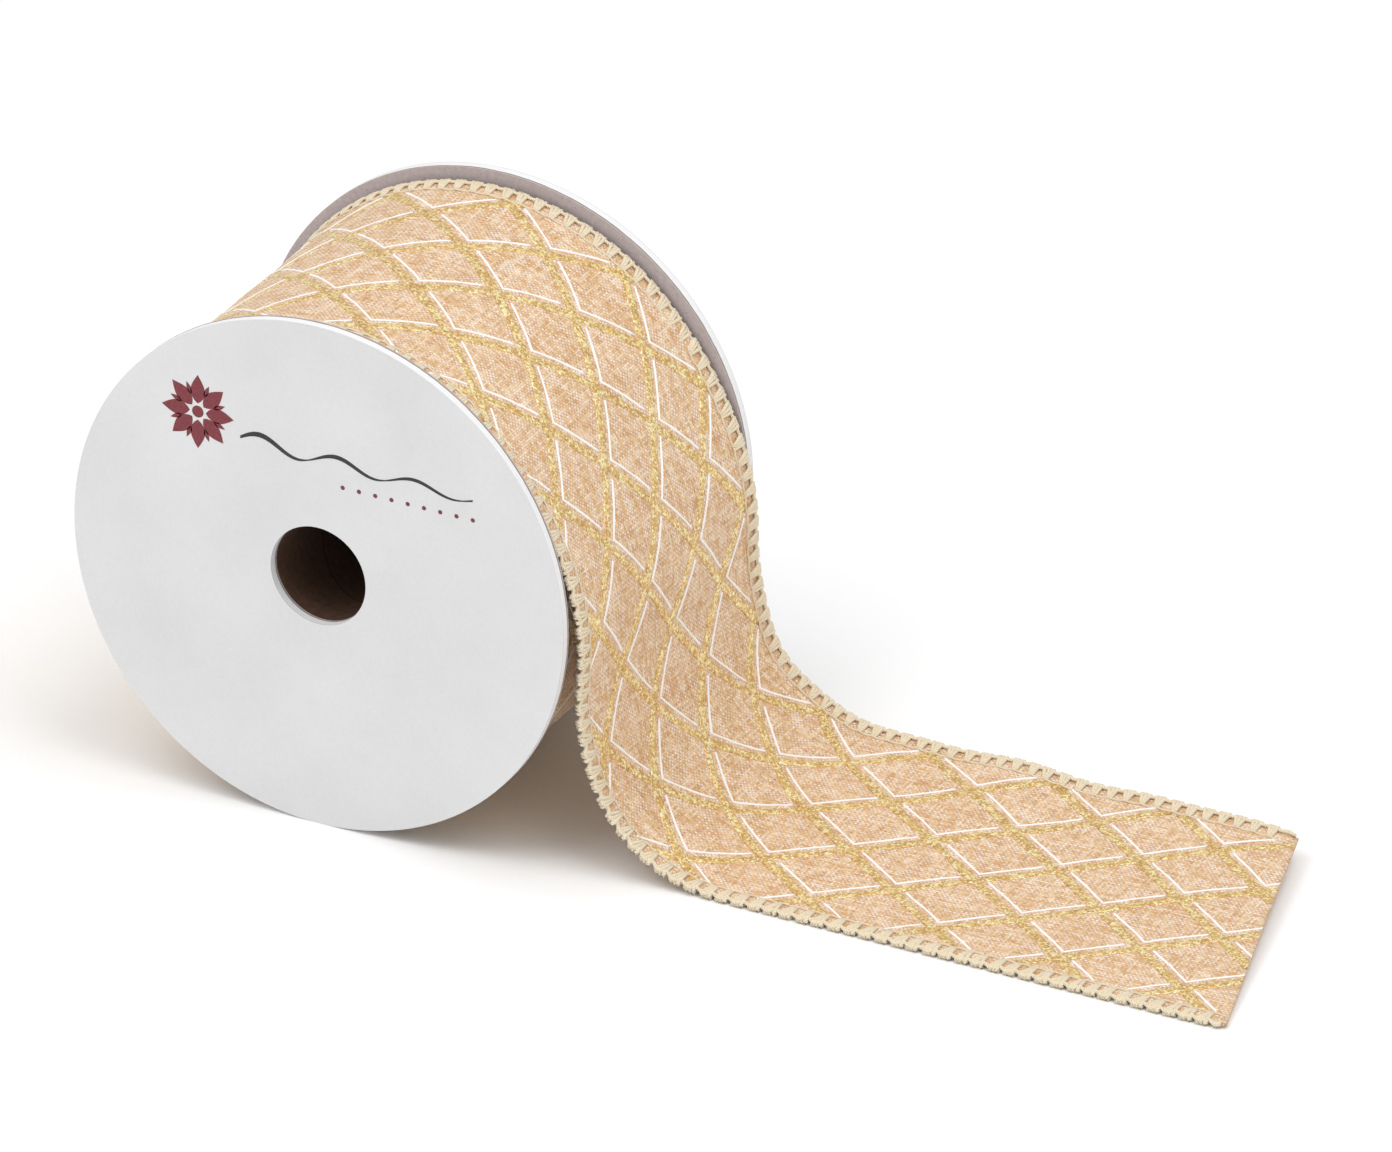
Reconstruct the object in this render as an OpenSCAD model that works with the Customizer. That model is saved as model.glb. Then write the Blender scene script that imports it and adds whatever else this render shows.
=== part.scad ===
// Ribbon spool: two paperboard flanges on a kraft tube, wound with wired ribbon whose free
// end leaves the roll on the right, drops to the table and runs out along it.
// Origin: centre of the bore, halfway between the flanges. +Y runs along the bore towards the
// back flange, +X towards the free end of the ribbon, +Z up. Millimetres.

/* [Flanges] */
// Diameter of each flange
flange_d = 98; // [75:1:160]
// Thickness of a flange's board without its papers
board_t = 1.6; // [1:0.1:3]
// Thickness of the printed paper on a flange's outer face
face_paper_t = 0.25; // [0.1:0.05:0.4]
// Thickness of the plain paper on a flange's inner face
liner_t = 0.2; // [0.1:0.05:0.4]
// Diameter of the hole through both flanges and the tube
bore_d = 19; // [12:0.5:30]

/* [Tube] */
// Wall of the core tube
tube_wall = 2; // [1:0.1:4]
// Each leg of the glue fillet between the tube and a flange
glue_leg = 0.9; // [0.5:0.05:0.9]

/* [Ribbon] */
// Width of the ribbon over its stitched edges
ribbon_w = 63.5; // [35:0.5:100]
// Thickness of the woven fabric
fabric_t = 0.3; // [0.2:0.05:0.4]
// Width of the overlock stitching along each edge
stitch_w = 3.2; // [2.2:0.1:5]
// Thickness of a wound lap at its stitched edge
wound_stitch_t = 0.68; // [0.64:0.02:1]
// Thickness of the free ribbon at its stitched edge
free_stitch_t = 1.2; // [0.8:0.05:2]
// How far the stitching stands out past the cut edge of the fabric
thread_lip = 0.8; // [0.75:0.05:1.2]
// Diameter of the wire inside each stitched edge
wire_d = 0.3; // [0.2:0.02:0.4]

/* [Starter tape] */
// Thickness of the tape that holds the first lap to the tube
tape_t = 0.1; // [0.05:0.01:0.2]
// Width of the tape along the tube
tape_w = 25; // [12:1:34]
// Angle of the tube that the tape covers
tape_angle = 110; // [40:5:170]

/* [Tail] */
// Angle above the horizontal where the tail leaves the roll
leave_angle = 36; // [25:1:50]
// Radius of the first stretch, where the tail springs off the roll, in radii of the roll
spring_ratio = 1.47; // [1.3:0.01:1.9]
// Angle turned along that first stretch
spring_turn = 18; // [10:1:22]
// Radius of the bulge beside the spool, in radii of the roll
bulge_ratio = 0.84; // [0.75:0.01:1.1]
// Angle that the tail turns back towards the spool along the bulge
bulge_turn = 27; // [20:1:30]
// Angle that the tail turns back outwards as it drops from the bulge to the foot
drop_turn = 31; // [20:1:40]
// Share of the height below the bulge that this drop takes
drop_share = 0.61; // [0.4:0.01:0.7]
// Length of the run on the table along the front edge
run_front = 102; // [50:1:400]
// How much shorter the run is along the back edge, for the slanted cut
cut_slant = 19; // [0:1:30]
// Length of the run that stays still when the rest is lifted
still_run = 6; // [3:0.5:12]

/* [Fits] */
// Gap between each side of the ribbon and the flange beside it
side_gap = 1.05; // [1:0.05:3]
// How far the flanges stand out past the roll
rim_margin = 2.5; // [1.5:0.1:8]
// Gap between one wound lap and the next at their stitched edges
lap_gap = 0.02; // [0.01:0.01:0.1]
// Clearance of the stitching round the fabric and the wire
thread_gap = 0.02; // [0.01:0.01:0.05]
// Gap between the turning roll and the tail
roll_gap = 0.3; // [0.2:0.05:1]
// Gap between the still part of the tail and the part that lifts
lift_gap = 0.3; // [0.3:0.05:1]

/* [Hidden] */
$fn = 96;
flange_r = flange_d / 2;
bore_r = bore_d / 2;
tube_r = bore_r + tube_wall;
inner_half = ribbon_w / 2 + side_gap;
board_from = inner_half + liner_t;
face_from = board_from + board_t;

// Ribbon across its width, from its middle: the fabric stops short of the edge, and the
// stitching's slot is deep enough for the wire to lie beside the cut edge.
ribbon_half = ribbon_w / 2;
fabric_half = ribbon_half - thread_lip;
band_half = ribbon_half - stitch_w;
slot_t = fabric_t + 2 * thread_gap;
wire_half = fabric_half + thread_gap + wire_d / 2;
slot_half = wire_half + wire_d / 2 + thread_gap;

// Wound laps, at mid thickness. Their pitch is stretched a little so that a whole number
// of them fills the roll under the outer lap.
outer_lap_r = flange_r - rim_margin - fabric_t / 2;
roll_r = outer_lap_r + wound_stitch_t / 2;
first_lap_r = tube_r + tape_t + wound_stitch_t / 2;
last_lap_r = outer_lap_r - wound_stitch_t - lap_gap;
pitches = floor((last_lap_r - first_lap_r) / (wound_stitch_t + lap_gap));
lap_pitch = (last_lap_r - first_lap_r) / pitches;

// Tail route in the XZ plane, at mid thickness. Headings are degrees below +X.
spring_heading = 90 - leave_angle;
bulge_heading = spring_heading + spring_turn;
drop_heading = bulge_heading + bulge_turn;
foot_heading = drop_heading - drop_turn;
run_z = -flange_r + free_stitch_t / 2;
tail_start_r = roll_r + roll_gap + free_stitch_t / 2;
tail_start = tail_start_r * [cos(leave_angle), sin(leave_angle)];
spring_r = spring_ratio * tail_start_r;
spring_centre = tail_start - spring_r * normal(spring_heading);
bulge_r = bulge_ratio * tail_start_r;
bulge_centre = spring_centre + (spring_r - bulge_r) * normal(bulge_heading);
drop_start = bulge_centre + bulge_r * normal(drop_heading);
drop_height = drop_share * (drop_start[1] - run_z);
drop_r = drop_height / (cos(foot_heading) - cos(drop_heading));
drop_centre = drop_start + drop_r * normal(drop_heading);
foot_start = drop_centre - drop_r * normal(foot_heading);
foot_r = (foot_start[1] - run_z) / (1 - cos(foot_heading));
foot_centre = foot_start + foot_r * normal(foot_heading);
lift_x = foot_centre[0] + still_run;
front_x = foot_centre[0] + run_front;
chord_turn = 3.6;
still_route = concat(
    bend(spring_centre, spring_r, spring_heading, bulge_heading),
    bend(bulge_centre, bulge_r, bulge_heading, drop_heading),
    bend(drop_centre, -drop_r, drop_heading, foot_heading),
    bend(foot_centre, -foot_r, foot_heading, 0),
    [[lift_x - lift_gap / 2, run_z, 0]]
);
end_route = [[lift_x + lift_gap / 2, run_z, 0], [front_x, run_z, 0]];

// Unit vectors of a heading in the XZ plane: square to the ribbon on its outer side, and
// along it towards the free end
function normal(heading) = [sin(heading), cos(heading)];
function along(heading) = [cos(heading), -sin(heading)];

// Route points [x, z, heading] of one bend. A negative radius bends the other way. Each
// bend's last point is left for the next one to start with.
function bend(centre, radius, from, to) = let(
    chords = ceil(abs(to - from) / chord_turn)
) [
    for (step = [0:chords - (to == 0 ? 0 : 1)])
        let(heading = from + (to - from) * step / chords)
        concat(centre + radius * normal(heading), heading)
];

// A route's points, moved square to the ribbon by offset
function offset_route(route, offset) = [
    for (point = route) [point[0], point[1]] + offset * normal(point[2])
];

// The route with a little more at each end, for cuts that run past a strip's ends
function longer(route) = let(
    first = route[0],
    last = route[len(route) - 1]
) concat(
    [concat([first[0], first[1]] - along(first[2]), first[2])],
    route,
    [concat([last[0], last[1]] + along(last[2]), last[2])]
);

// The list from its last item to its first
function reversed(list) = [for (item = [len(list) - 1:-1:0]) list[item]];

// Turns a shape made about Z so that it lies about Y, with its Z along +Y
module about_y() {
    rotate([-90, 0, 0]) children();
}

// Copy on the front side for side -1, or on the back side for side 1, of a back-side shape
module on_side(side) {
    mirror([0, side > 0 ? 0 : 1, 0]) children();
}

// Ring of a cross-section round the bore: section X is the radius, section Y runs along +Y
module ring(radius) {
    about_y() rotate_extrude() translate([radius, 0]) children();
}

// Strip that follows a route, through a thickness and between two distances along Y
module strip(route, thickness, from_y, to_y) {
    outline = concat(
        offset_route(route, thickness / 2),
        reversed(offset_route(route, -thickness / 2))
    );
    translate([0, to_y, 0]) rotate([90, 0, 0]) linear_extrude(to_y - from_y) polygon(outline);
}

module strip_fabric(route) {
    strip(route, fabric_t, -fabric_half, fabric_half);
}

// Stitching along the back edge of a strip, folded round the fabric and the wire
module strip_stitching(route) {
    difference() {
        strip(route, free_stitch_t, band_half, ribbon_half);
        strip(longer(route), slot_t, band_half - 1, slot_half);
    }
}

// Cross-section of the outer lap's stitching on its back edge
module stitch_section() {
    difference() {
        translate([-wound_stitch_t / 2, band_half]) square([wound_stitch_t, stitch_w]);
        translate([-slot_t / 2, band_half - 1]) square([slot_t, slot_half - band_half + 1]);
    }
}

// Wire along the back edge of a route, as a tube of eight sides
module route_wire(route) {
    sides = 8;
    rings = len(route);
    points = [
        for (point = route, side = [0:sides - 1])
            let(
                out = wire_d / 2 * cos(360 * side / sides),
                place = [point[0], point[1]] + out * normal(point[2])
            )
            [place[0], wire_half + wire_d / 2 * sin(360 * side / sides), place[1]]
    ];
    walls = [
        for (row = [0:rings - 2], side = [0:sides - 1])
            let(next = (side + 1) % sides)
            [row * sides + side, row * sides + next,
             (row + 1) * sides + next, (row + 1) * sides + side]
    ];
    first_cap = [for (side = [sides - 1:-1:0]) side];
    last_cap = [for (side = [0:sides - 1]) (rings - 1) * sides + side];
    polyhedron(points, concat([first_cap], walls, [last_cap]));
}

// Keeps what lies inside the tail's run up to its slanted cut
module cut_to_run() {
    intersection() {
        children();
        translate([0, 0, run_z - free_stitch_t]) linear_extrude(2 * free_stitch_t) polygon([
            [lift_x, -ribbon_half],
            [front_x, -ribbon_half],
            [front_x - cut_slant, ribbon_half],
            [lift_x, ribbon_half]
        ]);
    }
}

// Straight wire in the lifting part of the tail
module end_wire(side) {
    cut_to_run() translate([lift_x + lift_gap / 2, side * wire_half, run_z])
        rotate([0, 90, 0]) cylinder(h = run_front, d = wire_d);
}

// Disc of the back flange from start outwards, with the bore through it
module flange_layer(start, thickness) {
    translate([0, start, 0]) about_y() difference() {
        cylinder(h = thickness, r = flange_r);
        translate([0, 0, -thickness]) cylinder(h = 3 * thickness, r = bore_r);
    }
}

// Fillet of glue in the corner between the tube and the back flange
module glue_fillet() {
    ring(tube_r) polygon([
        [0, inner_half - glue_leg],
        [0, inner_half],
        [glue_leg, inner_half]
    ]);
}

// The stitched back edges of all the wound laps, pressed into one ring
module wound_edges() {
    inner = first_lap_r - wound_stitch_t / 2;
    outer = last_lap_r + wound_stitch_t / 2;
    ring(inner) translate([0, band_half]) square([outer - inner, stitch_w]);
}

module front_face_paper() {
    color("whitesmoke") on_side(-1) flange_layer(face_from, face_paper_t);
}

module front_flange_board() {
    color("gainsboro") on_side(-1) flange_layer(board_from, board_t);
}

module front_liner_paper() {
    color("silver") on_side(-1) flange_layer(inner_half, liner_t);
}

module back_liner_paper() {
    color("silver") flange_layer(inner_half, liner_t);
}

module back_flange_board() {
    color("gainsboro") flange_layer(board_from, board_t);
}

module back_face_paper() {
    color("whitesmoke") flange_layer(face_from, face_paper_t);
}

module core_tube() {
    color("sienna") about_y() difference() {
        translate([0, 0, -inner_half]) cylinder(h = 2 * inner_half, r = tube_r);
        translate([0, 0, -inner_half - 1]) cylinder(h = 2 * inner_half + 2, r = bore_r);
    }
}

module front_glue_fillet() {
    color("wheat") on_side(-1) glue_fillet();
}

module back_glue_fillet() {
    color("wheat") glue_fillet();
}

module starter_tape() {
    color("palegoldenrod") about_y() rotate_extrude(angle = tape_angle)
        translate([tube_r, -tape_w / 2]) square([tape_t, tape_w]);
}

// Each wound lap between its stitched edges, as a closed ring
module wound_fabric() {
    color("burlywood") for (lap = [0:pitches])
        ring(first_lap_r + lap * lap_pitch)
            translate([-fabric_t / 2, -band_half]) square([fabric_t, 2 * band_half]);
}

module wound_front_edges() {
    color("cornsilk") on_side(-1) wound_edges();
}

module wound_back_edges() {
    color("cornsilk") wound_edges();
}

module outer_lap_fabric() {
    color("tan") ring(outer_lap_r)
        translate([-fabric_t / 2, -fabric_half]) square([fabric_t, 2 * fabric_half]);
}

module outer_lap_front_stitching() {
    color("cornsilk") on_side(-1) ring(outer_lap_r) stitch_section();
}

module outer_lap_back_stitching() {
    color("cornsilk") ring(outer_lap_r) stitch_section();
}

module outer_lap_front_wire() {
    color("darkgray") on_side(-1) ring(outer_lap_r) translate([0, wire_half]) circle(d = wire_d);
}

module outer_lap_back_wire() {
    color("darkgray") ring(outer_lap_r) translate([0, wire_half]) circle(d = wire_d);
}

module tail_fabric() {
    color("tan") strip_fabric(still_route);
}

module tail_front_stitching() {
    color("cornsilk") on_side(-1) strip_stitching(still_route);
}

module tail_back_stitching() {
    color("cornsilk") strip_stitching(still_route);
}

module tail_front_wire() {
    color("darkgray") on_side(-1) route_wire(still_route);
}

module tail_back_wire() {
    color("darkgray") route_wire(still_route);
}

module tail_end_fabric() {
    color("burlywood") cut_to_run() strip_fabric(end_route);
}

module tail_end_front_stitching() {
    color("cornsilk") cut_to_run() on_side(-1) strip_stitching(end_route);
}

module tail_end_back_stitching() {
    color("cornsilk") cut_to_run() strip_stitching(end_route);
}

module tail_end_front_wire() {
    color("darkgray") end_wire(-1);
}

module tail_end_back_wire() {
    color("darkgray") end_wire(1);
}

front_face_paper();
front_flange_board();
front_liner_paper();
back_liner_paper();
back_flange_board();
back_face_paper();
core_tube();
front_glue_fillet();
back_glue_fillet();
starter_tape();
wound_fabric();
wound_front_edges();
wound_back_edges();
outer_lap_fabric();
outer_lap_front_stitching();
outer_lap_back_stitching();
outer_lap_front_wire();
outer_lap_back_wire();
tail_fabric();
tail_front_stitching();
tail_back_stitching();
tail_front_wire();
tail_back_wire();
tail_end_fabric();
tail_end_front_stitching();
tail_end_back_stitching();
tail_end_front_wire();
tail_end_back_wire();
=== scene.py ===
import math

import bmesh
import bpy
import numpy as np
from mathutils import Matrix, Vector


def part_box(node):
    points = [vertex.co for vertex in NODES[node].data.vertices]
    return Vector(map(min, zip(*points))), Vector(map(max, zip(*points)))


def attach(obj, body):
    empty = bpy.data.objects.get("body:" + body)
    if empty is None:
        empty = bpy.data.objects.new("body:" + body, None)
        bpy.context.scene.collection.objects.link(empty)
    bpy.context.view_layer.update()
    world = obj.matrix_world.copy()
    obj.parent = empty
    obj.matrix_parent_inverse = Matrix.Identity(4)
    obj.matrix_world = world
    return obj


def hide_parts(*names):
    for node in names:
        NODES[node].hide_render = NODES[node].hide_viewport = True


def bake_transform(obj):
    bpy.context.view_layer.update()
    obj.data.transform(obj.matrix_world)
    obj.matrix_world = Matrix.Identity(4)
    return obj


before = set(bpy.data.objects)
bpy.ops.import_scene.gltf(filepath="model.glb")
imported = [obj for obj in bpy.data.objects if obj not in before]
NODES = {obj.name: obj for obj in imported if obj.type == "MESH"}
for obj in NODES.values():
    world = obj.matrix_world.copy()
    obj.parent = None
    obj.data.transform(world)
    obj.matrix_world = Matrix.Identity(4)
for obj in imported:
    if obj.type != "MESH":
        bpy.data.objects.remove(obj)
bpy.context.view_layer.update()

MM = 0.001


def cad_box(node):
    """Lowest and highest corner of a CAD node, in millimetres."""
    low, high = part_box(node)
    return np.array(low) / MM, np.array(high) / MM


def smooth(value):
    """Smoothstep of value, held to 0 and 1 outside that range."""
    held = np.clip(value, 0, 1)
    return held * held * (3 - 2 * held)


# Sizes of the CAD model, in millimetres
FLANGE_R = cad_box("front_flange_board")[1][2]
FACE_Y = cad_box("front_face_paper")[0][1]
BOARD_IN_Y = cad_box("back_flange_board")[0][1]
ROLL_R = cad_box("outer_lap_fabric")[1][2]
RIBBON_HALF = cad_box("tail_back_stitching")[1][1]
FABRIC_HALF = cad_box("tail_fabric")[1][1]
BAND_HALF = cad_box("wound_fabric")[1][1]
WOUND_OUT_R = cad_box("wound_back_edges")[1][2]
WOUND_IN_R = cad_box("core_tube")[1][2] + 0.15
FRONT_X = cad_box("tail_end_front_stitching")[1][0]
CUT_SLOPE = (FRONT_X - cad_box("tail_end_back_stitching")[1][0]) / (BAND_HALF + RIBBON_HALF)
FABRIC_T = 0.3
WIRE_R = 0.15

# Laps under the outer one, and the rise of their spiral in a turn
LAPS = 49
LAP_PITCH = 0.7

# Bends of the tail, as in the CAD source: angles in degrees, radii in millimetres
LEAVE_ANGLE = 36
TAIL_STANDOFF = 1.09
START_R = ROLL_R + TAIL_STANDOFF
SPRING_R = 1.47 * START_R
SPRING_TURN = 18
BULGE_R = 0.84 * START_R
BULGE_TURN = 27
DROP_TURN = 31
DROP_SHARE = 0.61
RUN_Z = -FLANGE_R + 0.6

# Ribbon lengths are measured along its middle from this angle on top of the roll
ZERO_ANGLE = 150
LEAVE_S = ROLL_R * math.radians(ZERO_ANGLE - LEAVE_ANGLE)
FEATHER = ROLL_R * math.radians(12)

# The tail's own drift to the back and its cross slope on the table
TAIL_DRIFT = 4.05
CROSS_SLOPE = math.radians(3.8)

# The tail's feathered start: thickness and height above the roll
FEATHER_T = 0.02
FEATHER_GAP = 0.03

# Lengths past the roll: the stand-off is taken up, the roll's relief ends, the tilt starts
FREE_L = 30
RELIEF_L = 40
TILT_L = 22

# Depth of the saddle between the roll's stitched edges
SADDLE = 0.35

# Waves of the free ribbon's far edge: size, length over a radian, phase
FAR_WAVES = ((0.34, 6.1, 0.8), (0.22, 3.7, 0.0))
BODY_WAVE = 0.25

# How the print lies on the tail: skewed, slipped along and shifted to the back
PRINT_SKEW = 0.085
PRINT_SLIP = 1.2
PRINT_SHIFT = 1.6

# Printed pattern: cells round the roll, cell width, and one crossing's place
CELLS = 12
CELL_L = 2 * math.pi * ROLL_R / CELLS
CELL_W = 17.6
CROSS_S = 53.0
CROSS_Y = 27.5
GOLD_W = 1.85
GOLD_H = 0.12
GOLD_JITTER = 0.13
WHITE_W = 0.54
WHITE_H = 0.17
WHITE_JITTER = 0.1

# White strokes: distance from their crossing, reach in half cells, furthest place across
WHITE_SHIFT = 2.3
WHITE_REACH = 0.77
WHITE_LIMIT = 29.4

# Section of a printed stroke, in shares of its half width and of its height
STROKE_ACROSS = np.array([-1, -0.72, 0, 0.72, 1, 0])
STROKE_LEVELS = np.array([0.0, 0.8, 1.0, 0.8, 0.0, 0.0])
PRINT_SINK = 0.02

# Overlock: stitches round the roll, and where a fan's strands start inside and end outside
STITCHES = 92
STITCH_L = 2 * math.pi * ROLL_R / STITCHES
THREAD_R = 0.38
NEEDLE_R = 0.2
ROPE_R = 0.4
FAN_IN = np.array([0.0, 0.3, 0.6])
FAN_OUT = np.array([-1.0, -0.2, 0.65])

# The ribbon's edges: front is towards -Y
SIDES = ((-1, "front"), (1, "back"))

# Print on the front face, as (x, z) from the bore's middle
ROSETTE = np.array([-24.0, 26.5])
WAVE_FROM, WAVE_TO, WAVE_Z = -15.5, 31.0, 23.6
DOTS_FROM, DOTS_TO, DOTS_Z = 5.0, 31.0, 18.6
INK_OUT, INK_IN = -0.03, 0.01

# Studio: lengths in metres, but lens and sensor in millimetres; a light is name, place,
# power and size
FLOOR_HALF = 3.0
FLOOR_COLOUR = (0.97, 0.97, 0.97, 1)
WORLD_STRENGTH = 0.66
LIGHTS = (("key", (-0.3, -0.65, 1.25), 5.6, 0.8), ("fill", (0.6, -0.15, 1.35), 7.6, 0.9))
LIGHT_AIM = Vector((0.04, 0, -0.01))
VIEW_AZIMUTH = math.radians(28.57)
VIEW_ELEVATION = math.radians(27.37)
VIEW_WIDTH = 0.2449
VIEW_RIGHT, VIEW_DOWN = 0.0496, 0.0141
LENS = 1250.0
SENSOR = 36
CLIP_END = 20

rng = np.random.default_rng(7)


def normal(angle):
    """Upward unit direction square to a heading of so many degrees below +X."""
    return np.array([math.sin(math.radians(angle)), math.cos(math.radians(angle))])


def after_bend(start, radius, first, last):
    """Where a bend from one heading to another ends."""
    return start - radius * normal(first) + radius * normal(last)


def tail_middle():
    """Lengths, places (x, z) and headings along the CAD tail's middle, with softened bends."""
    step = 0.25
    soft = 8.0
    spare = 12
    heading = 90 - LEAVE_ANGLE
    place = START_R * np.array([math.cos(math.radians(LEAVE_ANGLE)),
                                math.sin(math.radians(LEAVE_ANGLE))])
    bulge = heading + SPRING_TURN
    drop = bulge + BULGE_TURN
    foot = drop - DROP_TURN
    drop_start = after_bend(after_bend(place, SPRING_R, heading, bulge), BULGE_R, bulge, drop)
    rise = drop_start[1] - RUN_Z
    drop_r = DROP_SHARE * rise / (normal(foot)[1] - normal(drop)[1])
    foot_start = after_bend(drop_start, -drop_r, drop, foot)
    foot_r = (foot_start[1] - RUN_Z) / (1 - normal(foot)[1])
    foot_end = after_bend(foot_start, -foot_r, foot, 0)
    bends = [(SPRING_R, SPRING_TURN), (BULGE_R, BULGE_TURN), (-drop_r, DROP_TURN), (-foot_r, foot)]
    ends = np.cumsum([abs(radius) * math.radians(turn) for radius, turn in bends])
    flat = ends[-1]
    lengths = np.arange(0, flat + FRONT_X - foot_end[0] + spare, step)
    padded = np.arange(-2 * soft, lengths[-1] + 2 * soft, step)
    curve = np.full(len(padded), 1 / START_R)
    for (radius, turn), end, start in zip(bends, ends, [0, *ends[:-1]]):
        curve[(padded >= start) & (padded < end)] = 1 / radius
    curve[padded >= flat] = 0
    window = np.hanning(int(2 * soft / step) + 1)
    curve = np.convolve(curve, window / window.sum(), mode="same")
    curve = np.interp(lengths, padded, curve)
    turned = math.radians(heading) + np.concatenate([[0], np.cumsum(curve[:-1]) * step])
    turned -= turned[-1] * smooth(lengths / flat)
    x = place[0] + np.concatenate([[0], np.cumsum(np.cos(turned[:-1])) * step])
    z = place[1] - np.concatenate([[0], np.cumsum(np.sin(turned[:-1])) * step])
    at_flat = int(flat / step)
    x += (foot_end[0] - x[at_flat]) * smooth(lengths / flat)
    z += (RUN_Z - z[-1]) * smooth(lengths / flat)
    return lengths, x, z, turned, flat


ROUTE_L, ROUTE_X, ROUTE_Z, ROUTE_H, FLAT_L = tail_middle()
FRONT_S = LEAVE_S + np.interp(FRONT_X, ROUTE_X, ROUTE_L)


def cut_length(y):
    """Ribbon length at which the slanted cut crosses the distance y from its middle."""
    return FRONT_S - CUT_SLOPE * (y + RIBBON_HALF)


def roll_angle(s):
    """Angle on the roll, up from +X, of a ribbon length."""
    return math.radians(ZERO_ANGLE) - s / ROLL_R


def roll_relief(s, y):
    """How far the roll's surface stands from a true cylinder: a saddle and faint waves."""
    angle = roll_angle(s)
    saddle = -SADDLE * (1 - np.clip(np.abs(y) / 30, 0, 1) ** 4)
    waves = 0.05 * np.sin(4 * angle + 0.6) * np.sin(y / 17) + 0.04 * np.sin(12 * angle + y / 9)
    return saddle + waves * (1 - (np.abs(y) / 33) ** 4)


def roll_surface(s, y, height):
    """Points at a height above the roll's outer lap."""
    angle = roll_angle(s)
    radius = ROLL_R + roll_relief(s, y) + height
    return np.stack([radius * np.cos(angle), y + 0 * radius, radius * np.sin(angle)], -1)


def tail_surface(s, y, height):
    """Points at a height above the tail, whose first stretch lies on the roll."""
    past = s - LEAVE_S
    on_tail = np.clip(past, 0, None)
    x = np.interp(on_tail, ROUTE_L, ROUTE_X)
    z = np.interp(on_tail, ROUTE_L, ROUTE_Z)
    heading = np.interp(on_tail, ROUTE_L, ROUTE_H)
    angle = roll_angle(s)
    # on the roll the layer thickens from nothing; past it, it takes up the CAD stand-off
    lift = FEATHER_GAP + FABRIC_T * smooth(1 + past / FEATHER)
    free = smooth(past / FREE_L)
    offset = (lift - TAIL_STANDOFF) * (1 - free) + FABRIC_T / 2 * free
    settle = 1 - smooth(past / RELIEF_L)
    offset = offset + roll_relief(s, y) * settle + tail_waves(past, y) + height
    x = np.where(past < 0, START_R * np.cos(angle), x)
    z = np.where(past < 0, START_R * np.sin(angle), z)
    heading = np.where(past < 0, math.pi / 2 - angle, heading)
    share = smooth((past - TILT_L) / (FLAT_L - TILT_L))
    slope = CROSS_SLOPE * share
    from_near = y + RIBBON_HALF
    out = np.cos(slope) * offset + np.sin(slope) * from_near
    across = np.cos(slope) * from_near - np.sin(slope) * offset
    return np.stack([x + np.sin(heading) * out,
                     across - RIBBON_HALF + TAIL_DRIFT * share,
                     z + np.cos(heading) * out], -1)


def tail_waves(past, y):
    """Slow waves of the wired far edge and of the middle of the free ribbon."""
    free = smooth((past - 25) / 40)
    far = smooth((y + 10) / 45)
    edge = sum(size * np.sin(past / length + phase) for size, length, phase in FAR_WAVES)
    body = BODY_WAVE * np.sin(past / 14 + 1.1) * np.cos(y / 21)
    return free * (far * edge + body * smooth((y + 31) / 12))


def add_piece(name, mesh, paint):
    """A new object in the scene, with its faces turned outwards."""
    mesh.materials.append(paint)
    piece = bpy.data.objects.new(name, mesh)
    bpy.context.scene.collection.objects.link(piece)
    work = bmesh.new()
    work.from_mesh(mesh)
    bmesh.ops.recalc_face_normals(work, faces=work.faces)
    work.to_mesh(mesh)
    work.free()
    return piece


def on_spool(piece, slot_name, *replaced):
    """Ties a piece to the spool, in place of CAD nodes."""
    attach(piece, "spool")
    if replaced:
        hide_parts(*replaced)


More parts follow.
